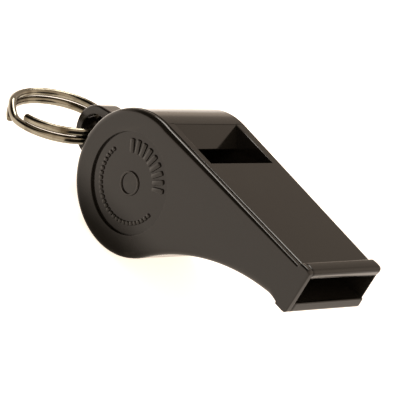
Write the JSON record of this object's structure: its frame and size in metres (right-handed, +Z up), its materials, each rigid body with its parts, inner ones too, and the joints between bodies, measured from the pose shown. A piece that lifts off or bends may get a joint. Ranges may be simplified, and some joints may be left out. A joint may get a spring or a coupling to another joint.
{
  "type": "training whistle",
  "caption": "Pea whistle of dark gloss plastic with a barrel, sound window, beaded mouthpiece, lug, loose cork pea and two-turn split ring.",
  "frame": {"origin": "on the barrel's axis, at the flat outer face of the left cheek", "axes": "+X towards the mouth, +Y to the whistle's left, +Z up out of the deck"},
  "size_m": [0.062, 0.0187, 0.0216],
  "materials": {
    "body_plastic": "smooth moulded, slightly worn gloss",
    "cover_plastic": "smooth moulded, slightly worn gloss",
    "cork": "natural cork",
    "ring_steel": "nickel plated wire"
  },
  "bodies": {
    "whistle": {"body_moulding": "body_plastic", "right_side_cover": "cover_plastic"},
    "pea": {"pea": "cork"},
    "ring": {"split_ring": "ring_steel"}
  },
  "joints": [
    {"name": "ring_swing", "type": "hinge", "parent": "whistle", "child": "ring", "pos_m": [-0.0151, -0.0086, -0.0027], "axis": [0, 1, 0], "range_deg": [-100, 120]},
    {"name": "pea_orbit", "type": "hinge", "parent": "whistle", "child": "pea", "pos_m": [0, -0.0086, 0], "axis": [0, 1, 0], "continuous": true}
  ]
}
